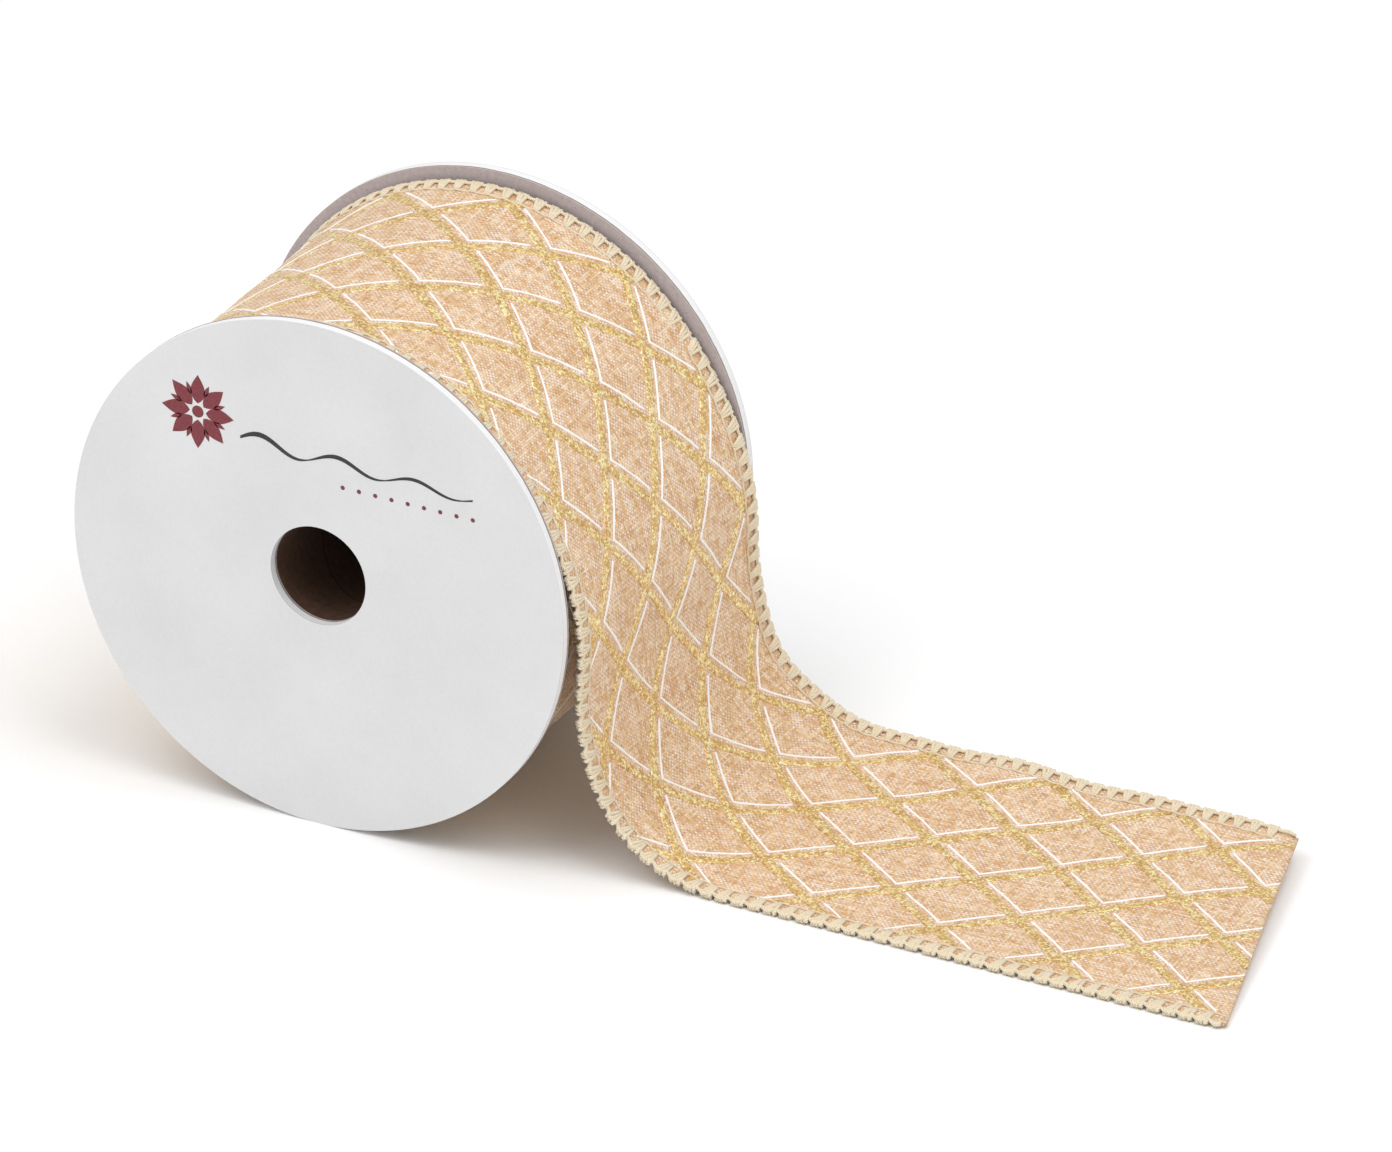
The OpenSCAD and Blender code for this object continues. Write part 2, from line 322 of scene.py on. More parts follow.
class Shell:
    """Collects the points, faces and UVs of one mesh."""

    def __init__(self):
        self.points, self.faces, self.uvs, self.count = [], [], [], 0

    def grid(self, points, u, v, rows_closed=False, columns_closed=False):
        """Adds a grid of points (rows, columns, 3). A closed way needs one more u and v."""
        rows, columns = points.shape[:2]
        index = self.count + np.arange(rows * columns).reshape(rows, columns)
        self.points.append(points.reshape(-1, 3))
        self.count += rows * columns
        if columns_closed:
            index = np.concatenate([index, index[:, :1]], 1)
        if rows_closed:
            index = np.concatenate([index, index[:1]], 0)
        u = np.broadcast_to(u, index.shape)
        v = np.broadcast_to(v, index.shape)
        corners = [(slice(None, -1), slice(None, -1)), (slice(None, -1), slice(1, None)),
                   (slice(1, None), slice(1, None)), (slice(1, None), slice(None, -1))]
        self.faces.append(np.stack([index[c] for c in corners], -1).reshape(-1, 4))
        uv = [np.stack([u[c], v[c]], -1) for c in corners]
        self.uvs.append(np.stack(uv, -2).reshape(-1, 2))
        return index

    def cap(self, loop, uv, flip=False):
        """Closes an end with quads, from its loop of vertex numbers."""
        half = len(loop) // 2
        left, right = loop[:half], loop[::-1][:half]
        quads = np.stack([left[:-1], left[1:], right[1:], right[:-1]], -1)
        if not flip:
            quads = quads[:, ::-1]
        self.faces.append(quads)
        self.uvs.append(np.tile(uv, (quads.size, 1)))

    def tube(self, path, radius, out, sides=6):
        """Adds a closed tube along a path; out is a rough outward direction at each point."""
        path = np.asarray(path, float)
        ahead = np.gradient(path, axis=0)
        ahead /= np.linalg.norm(ahead, axis=1, keepdims=True)
        side = np.cross(ahead, out)
        side /= np.linalg.norm(side, axis=1, keepdims=True)
        up = np.cross(side, ahead)
        turn = 2 * np.pi * np.arange(sides) / sides
        radius = np.broadcast_to(radius, len(path))[:, None, None]
        ring = (np.cos(turn)[None, :, None] * side[:, None]
                + np.sin(turn)[None, :, None] * up[:, None])
        along = np.concatenate([[0], np.cumsum(np.linalg.norm(np.diff(path, axis=0), axis=1))])
        turns = np.arange(sides + 1)[None] / sides
        index = self.grid(path[:, None] + radius * ring, along[:, None], turns,
                          columns_closed=True)
        self.cap(index[0, :-1], (0, 0))
        self.cap(index[-1, :-1], (along[-1], 0), flip=True)

    def make(self, name, paint):
        """The finished object, in metres, smooth shaded."""
        points = np.concatenate(self.points) * MM
        faces = np.concatenate(self.faces)
        mesh = bpy.data.meshes.new(name)
        mesh.from_pydata(points.tolist(), [], faces.tolist())
        layer = mesh.uv_layers.new(name="ribbon")
        layer.data.foreach_set("uv", np.concatenate(self.uvs).astype(np.float32).ravel())
        mesh.polygons.foreach_set("use_smooth", np.ones(len(faces), bool))
        return add_piece(name, mesh, paint)


class Paint:
    """A node material under construction."""

    def __init__(self, name, **sockets):
        self.material = bpy.data.materials.new(name)
        self.material.use_nodes = True
        self.tree = self.material.node_tree
        self.shader = self.tree.nodes["Principled BSDF"]
        for socket, value in sockets.items():
            self.shader.inputs[socket.replace("_", " ")].default_value = value

    def add(self, kind, inputs=(), **settings):
        """Adds a node; inputs are (socket, value or output) pairs."""
        made = self.tree.nodes.new("ShaderNode" + kind)
        for name, value in settings.items():
            setattr(made, name, value)
        for socket, value in inputs:
            if isinstance(value, bpy.types.NodeSocket):
                self.tree.links.new(value, made.inputs[socket])
            else:
                made.inputs[socket].default_value = value
        return made

    def maths(self, operation, first, second=0.0):
        """The result of a sum or function of one or two values."""
        return self.add("Math", [(0, first), (1, second)], operation=operation).outputs[0]

    def place(self, kind="UV"):
        """The surface's UV or object coordinates, in millimetres."""
        source = self.add("TexCoord").outputs[kind]
        if kind == "UV":
            return source
        return self.add("VectorMath", [(0, source), (3, 1 / MM)], operation="SCALE").outputs[0]

    def axes(self, vector):
        """The three parts of a vector or colour."""
        return self.add("SeparateXYZ", [(0, vector)]).outputs

    def join(self, x=0.0, y=0.0, z=0.0):
        """A vector of three parts."""
        return self.add("CombineXYZ", [(0, x), (1, y), (2, z)]).outputs[0]

    def noise(self, vector, scale, detail=2.0, roughness=0.5):
        """Soft noise from 0 to 1."""
        made = self.add("TexNoise", [("Vector", vector), ("Scale", scale), ("Detail", detail),
                                     ("Roughness", roughness)])
        return made.outputs["Fac"]

    def ramp(self, factor, *stops):
        """Colours at (position, colour) stops."""
        made = self.add("ValToRGB", [(0, factor)])
        band = made.color_ramp.elements
        while len(band) < len(stops):
            band.new(0.5)
        for element, (position, colour) in zip(band, stops):
            element.position = position
            element.color = (*colour, 1)
        return made.outputs[0]

    def between(self, share, first, second):
        """A value between two others."""
        return self.add("Mix", [(0, share), (2, first), (3, second)]).outputs[0]

    def mix(self, factor, first, second, blend="MIX"):
        """A colour mixed from two others."""
        made = self.add("Mix", [(0, factor), (6, first), (7, second)],
                        data_type="RGBA", blend_type=blend)
        return made.outputs[2]

    def fit(self, value, low, high):
        """A value from 0 to 1, stretched between low and high."""
        return self.add("MapRange", [(0, value), (3, low), (4, high)]).outputs[0]

    def bump(self, height, depth, strength=1.0):
        """Bump of a height from 0 to 1; depth is in millimetres."""
        made = self.add("Bump", [("Height", height), ("Distance", depth * MM),
                                 ("Strength", strength)])
        self.tree.links.new(made.outputs[0], self.shader.inputs["Normal"])

    def colour(self, value):
        """Feeds the shader's colour."""
        self.tree.links.new(value, self.shader.inputs["Base Color"])

    def rough(self, value):
        """Feeds the shader's roughness."""
        self.tree.links.new(value, self.shader.inputs["Roughness"])


def srgb(red, green, blue):
    """Linear colour of display values from 0 to 255."""
    parts = np.array([red, green, blue]) / 255
    return tuple(float(c) for c in np.where(parts <= 0.04045, parts / 12.92,
                                            ((parts + 0.055) / 1.055) ** 2.4))


def weave_paint():
    """Plain weave of heathered threads, warp along the ribbon, with painted shade in grooves and
    creases.
    """
    paint = Paint("linen_weave", Roughness=0.78, Sheen_Weight=0.15)
    pitch = 0.46
    along, across, _ = paint.axes(paint.place())
    warp = paint.maths("DIVIDE", across, pitch)
    weft = paint.maths("DIVIDE", along, pitch)
    warp_number = paint.maths("FLOOR", warp)
    weft_number = paint.maths("FLOOR", weft)
    over = paint.maths("MODULO", paint.maths("ADD", paint.maths("ADD", warp_number, weft_number),
                                             400.0), 2.0)
    shown = paint.maths("ADD", paint.maths("MULTIPLY", over, 0.6), 0.2)
    warp_hue = paint.noise(paint.join(paint.maths("MULTIPLY", along, 0.26),
                                      paint.maths("MULTIPLY", warp_number, 5.37)), 1.0, 3.0, 0.65)
    weft_hue = paint.noise(paint.join(paint.maths("MULTIPLY", weft_number, 5.37),
                                      paint.maths("MULTIPLY", across, 0.26), 31.0), 1.0, 3.0, 0.65)
    # a slow faint cloud in each thread's tone: painted soft shade of creases
    cloud = paint.noise(paint.place(), 0.13, 3.0, 0.6)
    warp_hue = paint.between(0.1, warp_hue, cloud)
    weft_hue = paint.between(0.1, weft_hue, cloud)
    pale = paint.ramp(warp_hue, (0.37, srgb(212, 168, 120)), (0.48, srgb(234, 208, 182)),
                      (0.59, srgb(253, 243, 236)))
    tan = paint.ramp(weft_hue, (0.37, srgb(194, 138, 74)), (0.48, srgb(218, 168, 102)),
                     (0.61, srgb(244, 214, 168)))
    hue = paint.mix(shown, pale, tan)
    warp_round = paint.maths("SINE", paint.maths("MULTIPLY", paint.maths("FRACT", warp), math.pi))
    weft_round = paint.maths("SINE", paint.maths("MULTIPLY", paint.maths("FRACT", weft), math.pi))
    height = paint.between(over, warp_round, weft_round)
    # painted shade: the grooves between threads are coloured darker
    groove_shade = paint.ramp(height, (0.0, srgb(196, 166, 138)), (0.5, (1, 1, 1)))
    paint.colour(paint.mix(0.7, hue, groove_shade, "MULTIPLY"))
    paint.bump(height, 0.09, 0.8)
    return paint.material


def gold_paint():
    """Glitter print: small facets of gold, in tones from dark gold to near white as painted glints
    and shade.
    """
    paint = Paint("gold_glitter", Metallic=0.35)
    place = paint.place()
    facets = paint.add("TexVoronoi", [("Vector", place), ("Scale", 2.6)])
    cell = paint.axes(facets.outputs["Color"])
    patch = paint.noise(place, 0.35, 3.0, 0.6)
    tone = paint.between(0.5, cell[0], patch)
    # painted glints and shade over the real gold: darker facets stand for ones turned from the
    # light, the palest for glints
    paint.colour(paint.ramp(tone, (0.22, srgb(194, 150, 88)), (0.42, srgb(220, 180, 112)),
                            (0.56, srgb(242, 208, 136)), (0.72, srgb(255, 246, 196))))
    paint.rough(paint.fit(cell[1], 0.24, 0.5))
    grain = paint.noise(place, 3.4, 2.0, 0.5)
    height = paint.maths("ADD", cell[2], grain)
    paint.bump(height, 0.16, 0.9)
    return paint.material


def puff_paint():
    """White puff print, slightly pebbled."""
    paint = Paint("white_puff", Roughness=0.55)
    place = paint.place()
    grain = paint.noise(place, 4.0, 3.0, 0.6)
    paint.colour(paint.ramp(grain, (0.3, srgb(236, 232, 230)), (0.6, srgb(255, 254, 252))))
    paint.bump(grain, 0.08, 0.7)
    return paint.material


def thread_paint(name, dark, light):
    """Two-ply thread with painted shade in the grooves between its plies: u runs along it and v
    turns once round it.
    """
    paint = Paint(name, Roughness=0.62, Sheen_Weight=0.25)
    along, turn, _ = paint.axes(paint.place())
    phase = paint.maths("ADD", paint.maths("MULTIPLY", turn, 2.0),
                        paint.maths("MULTIPLY", along, 1.25))
    twist = paint.maths("SINE", paint.maths("MULTIPLY", phase, 2 * math.pi))
    ply = paint.fit(paint.maths("ABSOLUTE", twist), 0.0, 1.0)
    fuzz = paint.noise(paint.place("Object"), 1.3, 4.0, 0.7)
    tone = paint.between(0.45, ply, fuzz)
    # painted shade: the colour darkens where the plies meet
    paint.colour(paint.ramp(tone, (0.15, dark), (0.5, tuple((np.array(dark) + light) / 2)),
                            (0.75, light)))
    paint.bump(ply, 0.07, 0.8)
    return paint.material


def shaded_wound_edge_paint():
    """The many stitched laps at the roll's side, coloured brown as painted shade between the
    flanges.
    """
    paint = Paint("wound_edge", Roughness=0.85)
    place = paint.place()
    fibre = paint.noise(place, 1.6, 4.0, 0.7)
    cloud = paint.noise(place, 0.12, 2.0, 0.5)
    tone = paint.between(0.35, fibre, cloud)
    # painted shade: the cream thread and pale fabric of the laps are coloured dark brown
    paint.colour(paint.ramp(tone, (0.3, srgb(128, 92, 62)), (0.5, srgb(182, 142, 102)),
                            (0.7, srgb(222, 196, 160))))
    paint.bump(fibre, 0.2, 0.9)
    return paint.material


def face_paint():
    """Coated white paper with faint mottling and fibre."""
    paint = Paint("coated_paper", Coat_Weight=0.2, Coat_Roughness=0.25)
    place = paint.place("Object")
    mottle = paint.noise(place, 0.05, 4.0, 0.55)
    fibre = paint.noise(place, 1.4, 5.0, 0.7)
    tone = paint.between(0.4, mottle, fibre)
    paint.colour(paint.ramp(tone, (0.35, srgb(216, 216, 216)), (0.65, srgb(225, 225, 225))))
    paint.rough(paint.fit(fibre, 0.38, 0.52))
    paint.bump(fibre, 0.02, 0.5)
    return paint.material


def liner_paint():
    """Uncoated grey paper with flecks."""
    paint = Paint("grey_liner", Roughness=0.88)
    place = paint.place("Object")
    fibre = paint.noise(place, 1.1, 6.0, 0.75)
    fleck = paint.noise(place, 3.1, 2.0, 0.5)
    plain = paint.ramp(fibre, (0.3, srgb(178, 166, 167)), (0.7, srgb(200, 189, 190)))
    flecks = paint.ramp(fleck, (0.66, (1, 1, 1)), (0.72, srgb(205, 198, 196)))
    paint.colour(paint.mix(1.0, plain, flecks, "MULTIPLY"))
    paint.bump(fibre, 0.06, 0.7)
    return paint.material


def board_paint():
    """Cut edge of white-backed board: thin grey layers and fibres."""
    paint = Paint("board_edge", Roughness=0.9)
    place = paint.place("Object")
    _, depth, _ = paint.axes(place)
    wander = paint.noise(place, 0.3, 3.0, 0.6)
    layer = paint.noise(paint.join(0.0, paint.maths("ADD", paint.maths("MULTIPLY", depth, 3.0),
                                                   wander)), 1.0, 2.0, 0.6)
    fibre = paint.noise(place, 2.2, 5.0, 0.7)
    tone = paint.between(0.5, layer, fibre)
    plain = paint.ramp(tone, (0.35, srgb(226, 225, 226)), (0.65, srgb(244, 244, 245)))
    inner = paint.maths("SUBTRACT", paint.maths("ABSOLUTE", depth), BOARD_IN_Y)
    edge = paint.ramp(paint.maths("ADD", inner, paint.maths("MULTIPLY", wander, 0.3)),
                      (0.42, srgb(110, 92, 74)), (0.55, (1, 1, 1)))
    paint.colour(paint.mix(0.8, plain, edge, "MULTIPLY"))
    paint.bump(tone, 0.1, 0.8)
    return paint.material


def shaded_kraft_paint():
    """Spiral-wound kraft with its seam, its brown coloured near black as painted shade inside the
    bore.
    """
    paint = Paint("spiral_kraft_painted_dark", Roughness=0.85)
    place = paint.place("Object")
    x, y, z = paint.axes(place)
    turn = paint.maths("DIVIDE", paint.maths("ARCTAN2", z, x), 2 * math.pi)
    spiral = paint.maths("FRACT", paint.maths("ADD", turn, paint.maths("DIVIDE", y, 31.0)))
    seam = paint.ramp(spiral, (0.0, srgb(40, 26, 18)), (0.02, (1, 1, 1)))
    fibre = paint.noise(place, 0.9, 6.0, 0.75)
    # painted shade: the kraft's own brown is taken near black for the dark inside the bore
    plain = paint.ramp(fibre, (0.3, srgb(62, 41, 28)), (0.7, srgb(92, 64, 44)))
    paint.colour(paint.mix(0.8, plain, seam, "MULTIPLY"))
    paint.bump(fibre, 0.1, 0.8)
    return paint.material


def steel_paint():
    """Drawn steel wire."""
    paint = Paint("drawn_wire", Metallic=0.95)
    scratch = paint.noise(paint.place("Object"), 4.0, 4.0, 0.7)
    paint.colour(paint.ramp(scratch, (0.3, srgb(150, 148, 145)), (0.7, srgb(205, 203, 200))))
    paint.rough(paint.fit(scratch, 0.25, 0.5))
    paint.bump(scratch, 0.02, 0.5)
    return paint.material


def glue_paint():
    """Dried hot glue."""
    paint = Paint("dried_glue", Transmission_Weight=0.25, IOR=1.48)
    place = paint.place("Object")
    lumps = paint.noise(place, 0.7, 3.0, 0.6)
    paint.colour(paint.ramp(lumps, (0.3, srgb(206, 184, 138)), (0.7, srgb(236, 222, 190))))
    paint.rough(paint.fit(lumps, 0.2, 0.45))
    paint.bump(lumps, 0.25, 0.8)
    return paint.material


def tape_paint():
    """Clear tape with fine streaks."""
    paint = Paint("clear_tape", Transmission_Weight=0.5, IOR=1.46)
    x, y, z = paint.axes(paint.place("Object"))
    streak = paint.noise(paint.join(paint.maths("MULTIPLY", x, 0.1), y,
                                    paint.maths("MULTIPLY", z, 0.1)), 2.0, 4.0, 0.6)
    paint.colour(paint.ramp(streak, (0.3, srgb(214, 203, 168)), (0.7, srgb(238, 232, 208))))
    paint.rough(paint.fit(streak, 0.12, 0.3))
    paint.bump(streak, 0.03, 0.5)
    return paint.material


def ink_paint(name, dark, light):
    """Printed ink with uneven cover."""
    paint = Paint(name, Coat_Weight=0.2, Coat_Roughness=0.3)
    cover = paint.noise(paint.place("Object"), 1.8, 4.0, 0.7)
    paint.colour(paint.ramp(cover, (0.4, dark), (0.75, light)))
    paint.rough(paint.fit(cover, 0.35, 0.5))
    paint.bump(cover, 0.01, 0.5)
    return paint.material


def ribbon_section():
    """Distances across the fabric, and heights, round its closed cross-section."""
    across = np.linspace(-FABRIC_HALF, FABRIC_HALF, 61)
    return np.concatenate([across, across[::-1]]), np.repeat([1.0, 0.0], len(across))


def roll_ribbon(paint):
    """The outer lap, as a closed ring."""
    shell = Shell()
    y, top = ribbon_section()
    s = np.linspace(0, CELLS * CELL_L, 361)
    points = roll_surface(s[:-1, None], y[None], (top - 1)[None] * FABRIC_T)
    shell.grid(points, s[:, None], np.append(y, y[0])[None], rows_closed=True,
               columns_closed=True)
    piece = shell.make("roll_ribbon", paint)
    on_spool(piece, "ribbon_fabric", "outer_lap_fabric")
    return piece


def tail_lengths(y, step=1.2):
    """Lengths along the tail at one distance across, ending on the slanted cut."""
    start = LEAVE_S - FEATHER
    even = np.arange(start, FRONT_S + step, step)
    share = smooth((even - LEAVE_S - FLAT_L) / (even[-1] - LEAVE_S - FLAT_L))
    return even[:, None] + share[:, None] * (cut_length(y)[None] - even[-1])


def tail_ribbon(paint):
    """The free end: fabric that starts feathered on the roll and ends at the slanted cut."""
    shell = Shell()
    y, top = ribbon_section()
    s = tail_lengths(y)
    thickness = FEATHER_T + (FABRIC_T - FEATHER_T) * smooth((s - LEAVE_S + FEATHER) / FEATHER)
    points = tail_surface(s, y[None], (top[None] - 1) * thickness)
    u = np.concatenate([s, s[:, :1]], 1)
    index = shell.grid(points, u, np.append(y, y[0])[None], columns_closed=True)
    shell.cap(index[0, :-1], (s[0, 0], 0))
    shell.cap(index[-1, :-1], (s[-1, 0], 0), flip=True)
    return shell.make("tail_ribbon", paint)


def wander(count, spacing, size):
    """Smooth random values along a line of count points."""
    knots = rng.normal(0, 1, int(count / spacing) + 3)
    return size * np.interp(np.arange(count) / spacing, np.arange(len(knots)), knots)


def drifted(s, y):
    """Where the print lies on the tail: it drifts and skews a little along the free ribbon."""
    past = s - LEAVE_S
    skew = -PRINT_SKEW * y * smooth(past / 140)
    slip = -PRINT_SLIP * np.sin(np.pi * np.clip(past / 110, 0, 1))
    return s + skew + slip, y + PRINT_SHIFT * smooth((past - 100) / 50)


def stroke(shell, on_roll, s, y, width, height, jitter):
    """Adds a raised strip of print along points (s, y), as far as the ribbon goes."""
    surface = roll_surface if on_roll else tail_surface
    if not on_roll:
        s, y = drifted(s, y)
        kept = (s > LEAVE_S - FEATHER) & (s < cut_length(y) + 0.6) & (np.abs(y) < BAND_HALF + 0.3)
        s, y = s[kept], y[kept]
    count = len(s)
    half = width / 2 * (1 + wander(count, 3, jitter))
    shift = wander(count, 5, jitter * 0.35)
    rise = height * (1 + wander(count, 4, jitter))
    if count < 4:
        return
    ahead = np.stack([np.gradient(s), np.gradient(y)], -1)
    ahead /= np.linalg.norm(ahead, axis=1, keepdims=True)
    sideways = STROKE_ACROSS[None] * half[:, None] + shift[:, None]
    strip_s = s[:, None] - ahead[:, 1:] * sideways
    strip_y = y[:, None] + ahead[:, :1] * sideways
    if not on_roll:
        strip_s = np.minimum(strip_s, cut_length(strip_y) - PRINT_SINK)
    points = surface(strip_s, strip_y, STROKE_LEVELS[None] * rise[:, None] - PRINT_SINK)
    u = np.concatenate([strip_s, strip_s[:, :1]], 1)
    v = np.concatenate([strip_y, strip_y[:, :1]], 1)
    index = shell.grid(points, u, v, columns_closed=True)
    shell.cap(index[0, :-1], (s[0], y[0]))
    shell.cap(index[-1, :-1], (s[-1], y[-1]), flip=True)


def lattice_lines(first, last):
    """(origin, slope) of the gold lines whose middle lies between two lengths."""
    slope = CELL_L / CELL_W
    for number in range(math.floor((first - CROSS_S) / CELL_L) - 4,
                        math.ceil((last - CROSS_S) / CELL_L) + 5):
        at = CROSS_S + number * CELL_L
        yield at - slope * CROSS_Y, slope
        yield at + slope * CROSS_Y, -slope


def gold_lattice(name, paint, on_roll):
    """Crossing gold lines over the roll or the tail."""
    shell = Shell()
    turn = CELLS * CELL_L
    reach = BAND_HALF + 0.2 if on_roll else RIBBON_HALF
    y = np.arange(-reach, reach + 0.01, reach / 52)
    first, last = (0, turn) if on_roll else (LEAVE_S - FEATHER, FRONT_S)
    for origin, slope in lattice_lines(first, last):
        if on_roll and not 0 <= origin < turn:
            continue
        stroke(shell, on_roll, origin + slope * y, y, GOLD_W, GOLD_H, GOLD_JITTER)
    return shell.make(name, paint)


def white_lines(name, paint, on_roll):
    """White V strokes beside the crossings, opening towards the back edge."""
    shell = Shell()
    first, last = (0, CELLS * CELL_L) if on_roll else (LEAVE_S - FEATHER, FRONT_S)
    margin = 0 if on_roll else CELL_L
    for row in range(-8, 1):
        y0 = CROSS_Y + row * CELL_W / 2 + WHITE_SHIFT
        shift = CELL_L / 2 * (row % 2)
        for number in range(-6, 18):
            s0 = CROSS_S + shift + number * CELL_L
            if not first - margin <= s0 < last + margin:
                continue
            for side in (-1, 1):
                low = max(y0 - 0.15, -WHITE_LIMIT)
                high = min(y0 + WHITE_REACH * CELL_W / 2 + rng.uniform(-0.3, 0.3), WHITE_LIMIT)
                if high - low < 0.8:
                    continue
                y = np.linspace(low, high, int((high - low) / 0.4) + 3)
                bow = 0.18 * np.sin((y - low) / (high - low) * math.pi) * side
                along = s0 + side * CELL_L / CELL_W * (y - y0) - bow
                stroke(shell, on_roll, along, y, WHITE_W, WHITE_H, WHITE_JITTER)
    return shell.make(name, paint)


def outward(surface, s, y):
    """Unit directions square to a surface."""
    span = surface(s, y, 1.0) - surface(s, y, 0.0)
    return span / np.linalg.norm(span, axis=-1, keepdims=True)


def stitch_strand(shell, surface, side, inner, outer, under, radius):
    """One strand of overlock from the inner line, over the edge and round to the underside."""
    width = RIBBON_HALF - BAND_HALF
    # lean along the ribbon, depth from its edge and level above it at seven points
    lean = np.array([0, 0.35, 0.7, 1.0, 1.0, 0.85, 0.6])
    depth = np.array([width + 0.1, width * 0.66, width * 0.32, 0.22, -0.02, 0.2, under[1]])
    level = np.array([0.02, 0.27, 0.34, 0.28, -0.12, -0.52, under[0]])
    s = inner + (outer - inner) * lean
    y = side * (RIBBON_HALF - depth)
    path = surface(s, y, level)
    swell = np.array([0.8, 0.88, 1.0, 1.08, 1.1, 1.0, 0.8])
    shell.tube(path, radius * swell, outward(surface, s, y))


def edge_stitches(name, surface, paint, side, first, last, under):
    """Overlock along one edge: fans of strands, the looper's rope and the needle line."""
    shell = Shell()
    count = int(round((last - first) / STITCH_L))
    for number in range(count):
        at = first + number * STITCH_L + rng.normal(0, 0.12)
        for start, end in zip(FAN_IN, FAN_OUT):
            inner = at + start + rng.normal(0, 0.05)
            outer = at + end + rng.normal(0, 0.08)
            stitch_strand(shell, surface, side, inner, outer, under,
                          THREAD_R * rng.uniform(0.92, 1.1))
    s = np.arange(first, last + 0.01, STITCH_L / 8)
    wave = 2 * math.pi * (s - first) / STITCH_L
    needle = side * (BAND_HALF - 0.12 + 0.1 * np.cos(wave))
    level = 0.12 + 0.05 * np.sin(wave)
    shell.tube(surface(s, needle, level), NEEDLE_R, outward(surface, s, needle))
    looper = side * (RIBBON_HALF - 0.42 + 0.24 * np.cos(wave + 1.0))
    level = 0.2 + 0.12 * np.sin(wave)
    rope = ROPE_R + 0.07 * np.cos(wave + 1.0)
    shell.tube(surface(s, looper, level), rope, outward(surface, s, looper))
    return shell.make(name, paint)


def edge_wire(name, paint, side):
    """The fine wire along one edge of the tail, inside its stitches."""
    shell = Shell()
    y = side * (FABRIC_HALF + 0.17)
    s = np.arange(LEAVE_S + 1, cut_length(y) - 0.3, 0.8)
    across = np.full(len(s), y)
    shell.tube(tail_surface(s, across, -FABRIC_T / 2), WIRE_R, outward(tail_surface, s, across))
    return shell.make(name, paint)


def wound_ribbon(paint):
    """All the laps under the outer one, as one spiral strip from the tube outwards."""
    shell = Shell()
    turns = (ROLL_R - 0.75 - WOUND_IN_R) / LAP_PITCH
    turn = np.linspace(0, turns, int(turns * 90))
    radius = WOUND_IN_R + LAP_PITCH * turn
    across = np.linspace(-BAND_HALF, BAND_HALF, 9)
    y = np.concatenate([across, across[::-1]])
    top = np.repeat([1.0, 0.0], len(across))
    sag = 0.12 * (1 - (y / BAND_HALF) ** 2)
    r = radius[:, None] + (top * FABRIC_T - sag)[None]
    angle = 2 * np.pi * turn[:, None]
    points = np.stack([r * np.cos(angle), np.broadcast_to(y, r.shape), -r * np.sin(angle)], -1)
    steps = np.hypot(LAP_PITCH, 2 * np.pi * radius[1:]) * np.diff(turn)
    along = np.concatenate([[0], np.cumsum(steps)])
    index = shell.grid(points, along[:, None], np.append(y, y[0])[None], columns_closed=True)
    shell.cap(index[0, :-1], (0, 0))
    shell.cap(index[-1, :-1], (along[-1], 0), flip=True)
    piece = shell.make("wound_ribbon", paint)
    on_spool(piece, "ribbon_fabric", "wound_fabric")
    return piece


def wound_edge(side, place, paint):
    """The stitched side of all the laps: a rippled disc with a bump for every stitch."""
    shell = Shell()
    low = WOUND_IN_R - 0.1
    high = WOUND_OUT_R - 0.05
    columns = LAPS * 4
    radius = np.linspace(low, high, columns + 1)
    turn = np.linspace(0, 2 * np.pi, 241)
    angle = turn[:-1]
    lap = (radius - low) / (high - low) * LAPS
    ridge = np.abs(np.sin(np.pi * lap))
    stitches = np.floor(radius * 2 * np.pi / STITCH_L)
    lap_start = np.repeat(rng.uniform(0, 6.28, LAPS + 1), 4)[:columns + 1]
    bumps = 0.5 + 0.5 * np.sin(angle[:, None] * stitches[None] + lap_start[None])
    sway = np.repeat(rng.normal(0, 0.12, LAPS + 1), 4)[:columns + 1]
    rise = 0.55 * ridge[None] * (0.45 + 0.55 * bumps)
    out = RIBBON_HALF - 0.75 + rise + sway[None] * ridge[None]
    inner = np.full_like(out, BAND_HALF + 0.02)
    y = side * np.concatenate([out, inner[:, ::-1]], 1)
    r = np.concatenate([radius, radius[::-1]])
    points = np.stack([r[None] * np.cos(angle)[:, None], y, r[None] * np.sin(angle)[:, None]], -1)
    shell.grid(points, np.append(r, r[0])[None], 30 * turn[:, None], rows_closed=True,
               columns_closed=True)
    piece = shell.make(f"wound_{place}_edge", paint)
    on_spool(piece, "edge_thread", f"wound_{place}_edges")


def print_outline(name, outlines, paint):
    """Thin ink shapes on the front face, from closed outlines of (x, z)."""
    points, faces = [], []
    for outline in outlines:
        outline = np.asarray(outline, float)
        first, count = len(points), len(outline)
        for level in (INK_IN, INK_OUT):
            points += [(x * MM, (FACE_Y + level) * MM, z * MM) for x, z in outline]
        faces.append(list(range(first, first + count)))
        faces.append(list(range(first + 2 * count - 1, first + count - 1, -1)))
        for at in range(count):
            after = (at + 1) % count
            faces.append([first + at, first + count + at, first + count + after, first + after])
    mesh = bpy.data.meshes.new(name)
    mesh.from_pydata(points, [], faces)
    on_spool(add_piece(name, mesh, paint), "face_paper")


